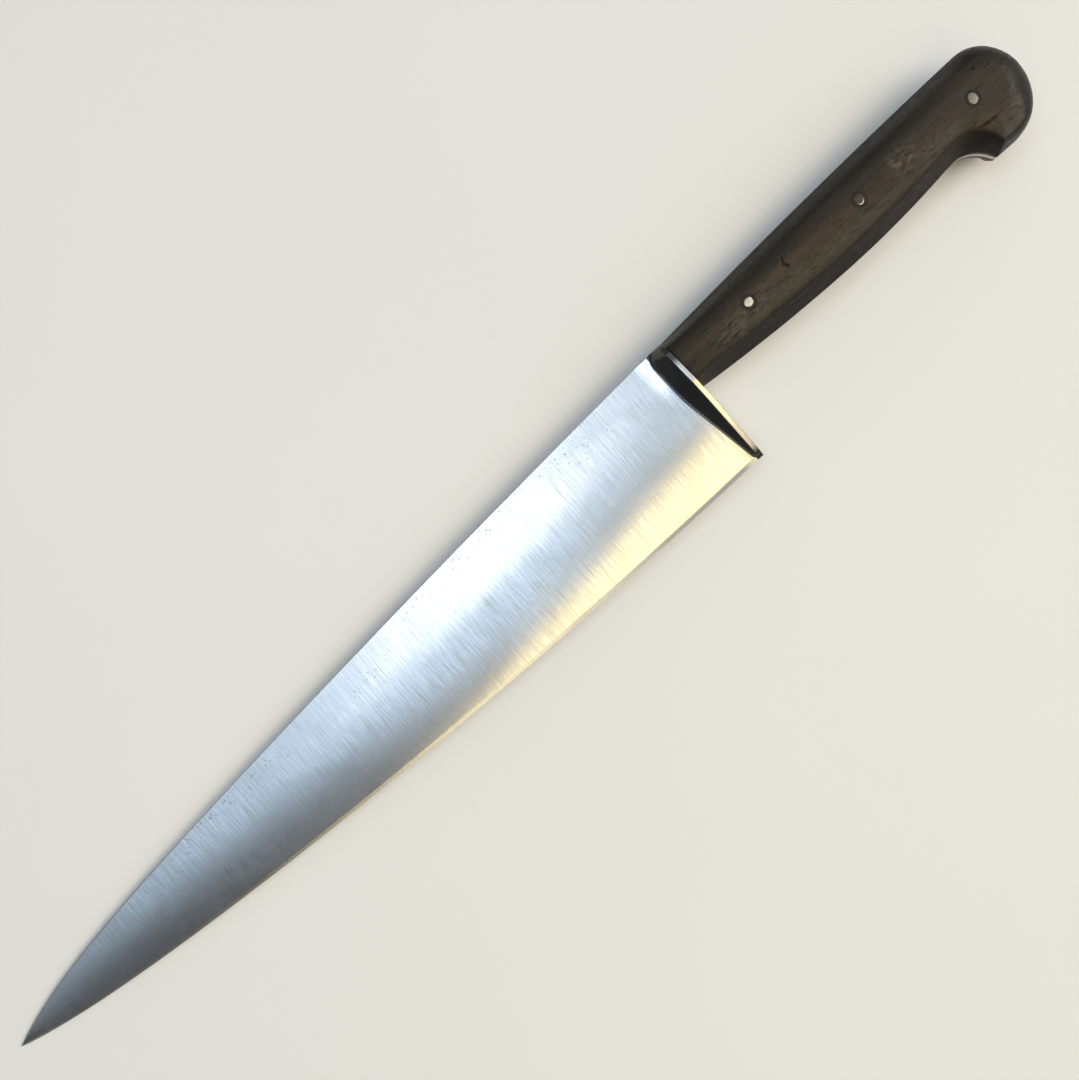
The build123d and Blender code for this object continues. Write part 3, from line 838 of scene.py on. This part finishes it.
def bolster_steel():
    """The bolster, smoother than the blade, with a dark patina at its ends and a painted dark reflection
    on its slope.
    """
    material = steel(
        "polished_bolster",
        light=(0.68, 0.67, 0.64, 1),
        dark=(0.52, 0.50, 0.47, 1),
        roughness=0.17,
        anisotropy=0.3,
        streaks=0.4,
    )
    tree = material.node_tree
    shader = tree.nodes["Principled BSDF"]
    directions = add(tree, "ShaderNodeTexCoord").outputs
    y = add(tree, "ShaderNodeSeparateXYZ", {"Vector": directions["Object"]}).outputs[1]
    heel = AXIS_Y + HEEL_HEIGHT
    at_heel = between(tree, y, heel + HEEL_PATINA[0], heel + HEEL_PATINA[1], 1.0, 0.0)
    at_spine = between(tree, y, AXIS_Y + SPINE_PATINA[0], AXIS_Y + SPINE_PATINA[1])
    # Faces that look towards the tip get a painted dark reflection
    lean = add(tree, "ShaderNodeSeparateXYZ", {"Vector": directions["Normal"]}).outputs[0]
    on_slope = between(tree, lean, *SLOPE_DARK_REFLECTION, 1.0, 0.0)
    dark = arithmetic(tree, "MAXIMUM", arithmetic(tree, "MAXIMUM", at_heel, at_spine), on_slope)
    # This darkening is patina at the ends and a painted dark reflection on the slope
    patina = arithmetic(tree, "MULTIPLY", dark, PATINA_AND_REFLECTION_STRENGTH)
    bare = shader.inputs["Base Color"].links[0].from_socket
    connect(tree, shader, Base_Color=blend_colour(tree, patina, bare, PATINA_AND_DARK_REFLECTION))
    return material


def bevel_steel():
    """The sharpened bevel along the edge."""
    return steel(
        "honed_bevel",
        light=(0.74, 0.72, 0.67, 1),
        dark=(0.62, 0.60, 0.56, 1),
        roughness=0.26,
        anisotropy=0.4,
        streaks=0.3,
    )


def tang_steel():
    """The tang's rim between the scales."""
    return steel(
        "tang_rim",
        light=(0.50, 0.46, 0.41, 1),
        dark=(0.28, 0.24, 0.20, 1),
        roughness=0.34,
        anisotropy=0.2,
        streaks=0.5,
    )


def attribute(tree, name):
    """A value that the mesh holds at each point."""
    return add(tree, "ShaderNodeAttribute", attribute_name=name).outputs["Fac"]


def oiled_wood(name, offset):
    """Near-black handle wood: fine grain, open pores, browner sides darkened by painted shade, a face
    greyed by a painted sheen, and pale rubbed patches.
    """
    material, tree, shader, coordinates = new_material(name)
    bend = noise(tree, coordinates, (20, 60, 40), detail=2.0, offset=offset)
    grain = noise(tree, coordinates, (45, 900, 700), detail=5.0, roughness=0.65, offset=offset)
    band_size = (14, 210, 160)
    bands = noise(tree, coordinates, band_size, roughness=0.55, distortion=0.2, offset=offset)
    pores = noise(tree, coordinates, (260, 3600, 3000), detail=2.0, offset=offset + 2.0)
    scuffs = noise(tree, coordinates, (420, 700, 700), detail=5.0, roughness=0.7, offset=offset + 5.0)
    dark = blend_colour(tree, between(tree, grain, 0.35, 0.7), WOOD_BLACK, WOOD_DARK)
    brown = blend_colour(tree, between(tree, bands, 0.40, 0.70), dark, WOOD_BROWN)
    warm_side = blend_colour(tree, 0.60, dark, brown)
    # The sides are darkened with painted shade
    shaded_side_colour = blend_colour(tree, 0.65, warm_side, WOOD_BLACK)
    # The face gets a painted grey sheen
    sheen_grey_face = blend_colour(tree, between(tree, bend, 0.35, 0.7), FACE_BLACK, FACE_SHEEN_GREY)
    sheened_face_colour = blend_colour(tree, between(tree, bands, 0.30, 0.70, 0.75, 0.35), brown, sheen_grey_face)
    # The face mask puts the painted sheen on top and the painted shade on the sides
    colour = blend_colour(tree, attribute(tree, "face"), shaded_side_colour, sheened_face_colour)
    pale = arithmetic(tree, "MULTIPLY", attribute(tree, "rubbed"), between(tree, scuffs, 0.42, 0.68))
    colour = blend_colour(tree, pale, colour, RUBBED_WOOD)
    pore = between(tree, pores, 0.60, 0.70)
    colour = blend_colour(tree, arithmetic(tree, "MULTIPLY", pore, 0.6), colour, GRIME_AND_SHADE)
    # Grime at the bolster and the pins, and painted shade in the cuts
    grime_and_shade_share = arithmetic(tree, "MULTIPLY", attribute(tree, "grime_and_cut_shade"), 0.85)
    colour = blend_colour(tree, grime_and_shade_share, colour, GRIME_AND_SHADE)
    rough = between(tree, scuffs, 0.3, 0.7, 0.30, 0.50)
    rough = arithmetic(tree, "ADD", rough, arithmetic(tree, "MULTIPLY", pale, 0.18))
    rough = arithmetic(tree, "ADD", rough, arithmetic(tree, "MULTIPLY", pore, 0.15))
    normal = bump(tree, grain, GRAIN_DEPTH)
    normal = bump(tree, pore, -PORE_DEPTH, under=normal)
    normal = bump(tree, scuffs, SCUFF_DEPTH, under=normal)
    connect(tree, shader, Base_Color=colour, Roughness=rough, Normal=normal)
    shader.inputs["Specular IOR Level"].default_value = 0.22
    return material


def pin_metal(index):
    """Nickel silver: scratched, dull or dark in the middle of the head, with a painted highlight at its
    rim.
    """
    material, tree, shader, coordinates = new_material(f"nickel_silver_{index + 1}")
    scratch_size = (900, 2600, 900)
    scratches = noise(tree, coordinates, scratch_size, detail=4.0, roughness=0.65, offset=index)
    scratched = arithmetic(tree, "MULTIPLY", scratches, 0.35)
    # The rim gets a painted highlight, broken up by the scratches
    uneven = arithmetic(tree, "ADD", attribute(tree, "rim"), scratched)
    highlight_start = PIN_HIGHLIGHT_STARTS[index]
    bright = between(tree, uneven, highlight_start + 0.1, highlight_start + 0.35)
    colour = blend_colour(tree, bright, PIN_MIDDLES[index], PIN_HIGHLIGHT_COLOUR)
    specks = cells(tree, coordinates, PIN_SPECKS_PER_METRE)["Distance"]
    speck = between(tree, specks, 0.12, 0.28, 1.0, 0.0)
    colour = blend_colour(tree, arithmetic(tree, "MULTIPLY", speck, 0.5), colour, PIN_SPECK)
    rough = between(tree, scratches, 0.3, 0.7, 0.38, 0.56)
    normal = bump(tree, scratches, PIN_SCRATCH_DEPTH)
    connect(tree, shader, Base_Color=colour, Roughness=rough, Normal=normal)
    shader.inputs["Metallic"].default_value = 1.0
    return material


# ---- Floor, lights and camera -------------------------------------------------------------------

FLOOR_ALONG = Vector((math.cos(LEAN_ANGLE), 0, -math.sin(LEAN_ANGLE)))
FLOOR_ACROSS = Vector((0, 1, 0))
FLOOR_UP = Vector((math.sin(LEAN_ANGLE), 0, math.cos(LEAN_ANGLE)))
FLOOR_GAP = 0.00005
FLOOR_SIZE = 60.0
FLOOR_COLOURS = ((0.76, 0.745, 0.72, 1), (0.81, 0.795, 0.77, 1))
CAMERA_HEIGHT = 0.294
CAMERA_AHEAD = -0.0583                  # the camera looks straight down on this place on the blade
CAMERA_ROLL = math.radians(41.5)
SENSOR = 36.0
FOCAL_LENGTH = 36.1
NEAREST_SEEN = 0.01

# name, place along and across the floor, height over it, size, watts, colour, turn in degrees
WINDOWS = [
    ("window", -0.235, 0.28, 1.2, (0.33, 0.66), 1.2, (0.98, 0.99, 1.0), 0.0),
    ("warm_window", 0.12, -0.435, 1.2, (0.95, 0.60), 4.2, (1.0, 0.78, 0.36), 9.0),
    ("cool_window", -0.50, 0.31, 1.25, (0.95, 0.86), 2.8, (0.62, 0.81, 1.0), -10.0),
    ("cool_ceiling", 0.17, 0.21, 1.2, (0.50, 0.62), 0.78, (0.72, 0.86, 1.0), 0.0),
    ("low_window", -0.38, -1.2, 1.2, (0.55, 0.8), 1.9, (1.0, 0.84, 0.50), 0.0),
]

BEYOND_TIP = (-0.50, 0.0)               # directions over which the world's light dims towards the tip,
HIGH_UP = (0.42, 0.60)                  # but only above these
WORLD_BRIGHTNESS = (0.44, 0.08)         # all round, and in the dim part
WORLD_COLOURS = ((0.84, 0.92, 1.0, 1), (1.0, 0.96, 0.90, 1))


def over_floor(along, across, height):
    """A place measured from the foot of the bolster, along the resting floor."""
    foot = Vector((BOLSTER_X, AXIS_Y, -FLOOR_GAP))
    return foot + FLOOR_ALONG * along + FLOOR_ACROSS * across + FLOOR_UP * height


def facing(position, right, up):
    """A placing whose -Z looks down on the floor."""
    turn = Matrix((right, up, right.cross(up))).transposed().to_4x4()
    return Matrix.Translation(position) @ turn


def floor_material():
    """A matt pale board with the faintest mottling."""
    material, tree, shader, coordinates = new_material("pale_floor")
    mottle = noise(tree, coordinates, (7, 7, 7), detail=3.0)
    colour = blend_colour(tree, mottle, *FLOOR_COLOURS)
    connect(tree, shader, Base_Color=colour)
    shader.inputs["Roughness"].default_value = 0.85
    shader.inputs["Specular IOR Level"].default_value = 0.2
    return material


def make_floor():
    """The floor that the tip and the bolster rest on."""
    mesh = bpy.data.meshes.new("floor")
    half = FLOOR_SIZE / 2
    corners = [(-half, -half, 0), (half, -half, 0), (half, half, 0), (-half, half, 0)]
    mesh.from_pydata(corners, [], [(0, 1, 2, 3)])
    mesh.materials.append(floor_material())
    floor = bpy.data.objects.new("floor", mesh)
    floor.matrix_world = facing(over_floor(0, 0, 0), FLOOR_ALONG, FLOOR_ACROSS)
    bpy.context.collection.objects.link(floor)


def make_light(name, along, across, height, size, watts, colour, turn=0.0, aim=None):
    """A soft rectangular light, level with the floor and turned on it, or aimed at a place on it."""
    lamp = bpy.data.lights.new(name, "AREA")
    lamp.shape = "RECTANGLE"
    lamp.size, lamp.size_y = size
    lamp.energy = watts
    lamp.color = colour
    light = bpy.data.objects.new(name, lamp)
    position = over_floor(along, across, height)
    light.matrix_world = facing(position, FLOOR_ALONG, FLOOR_ACROSS) @ Matrix.Rotation(turn, 4, "Z")
    if aim is not None:
        look = (over_floor(*aim, 0) - position).to_track_quat("-Z", "Y")
        light.matrix_world = Matrix.Translation(position) @ look.to_matrix().to_4x4()
    bpy.context.collection.objects.link(light)


def make_lights():
    """Windows level with the floor, warm and cool, and one broad light aimed at the bolster."""
    for name, along, across, height, size, watts, colour, turn in WINDOWS:
        make_light(name, along, across, height, size, watts, colour, turn=math.radians(turn))
    make_light("room", 1.3, -0.5, 1.2, (1.2, 1.2), 17.0, (1.0, 0.97, 0.93), aim=(0, 0))


def make_world():
    """Soft even light from all round, except that it is dim and warmer high up beyond the tip."""
    world = bpy.data.worlds.new("room_light")
    world.use_nodes = True
    tree = world.node_tree
    background = tree.nodes["Background"]
    direction = add(tree, "ShaderNodeTexCoord").outputs["Generated"]
    sides = add(tree, "ShaderNodeSeparateXYZ", {"Vector": direction})
    beyond_tip = between(tree, sides.outputs[0], *BEYOND_TIP, 1.0, 0.0)
    high_up = between(tree, sides.outputs[2], *HIGH_UP)
    dim = arithmetic(tree, "MULTIPLY", beyond_tip, high_up)
    brightness = between(tree, dim, 0.0, 1.0, *WORLD_BRIGHTNESS)
    colour = blend_colour(tree, dim, *WORLD_COLOURS)
    tree.links.new(brightness, background.inputs["Strength"])
    tree.links.new(colour, background.inputs["Color"])
    bpy.context.scene.world = world


def make_camera():
    """A camera straight over the blade, turned so that the knife lies along the picture's diagonal."""
    camera = bpy.data.objects.new("camera", bpy.data.cameras.new("camera"))
    camera.data.sensor_width = SENSOR
    camera.data.lens = FOCAL_LENGTH
    camera.data.clip_start = NEAREST_SEEN
    right = FLOOR_ALONG * math.cos(CAMERA_ROLL) - FLOOR_ACROSS * math.sin(CAMERA_ROLL)
    up = FLOOR_ALONG * math.sin(CAMERA_ROLL) + FLOOR_ACROSS * math.cos(CAMERA_ROLL)
    camera.matrix_world = facing(over_floor(CAMERA_AHEAD, 0, CAMERA_HEIGHT), right, up)
    bpy.context.collection.objects.link(camera)
    bpy.context.scene.camera = camera


make_blade()
make_tang()
make_scale("scale_left", 1, LEFT_GRID, LEFT_MARKS, oiled_wood("oiled_wood_left", 0.0))
make_scale("scale_right", -1, RIGHT_GRID, RIGHT_MARKS, oiled_wood("oiled_wood_right", 11.0))
for pin_index in range(len(PINS)):
    make_pin(pin_index)
make_floor()
make_lights()
make_world()
make_camera()
bpy.context.scene.view_settings.view_transform = "Standard"
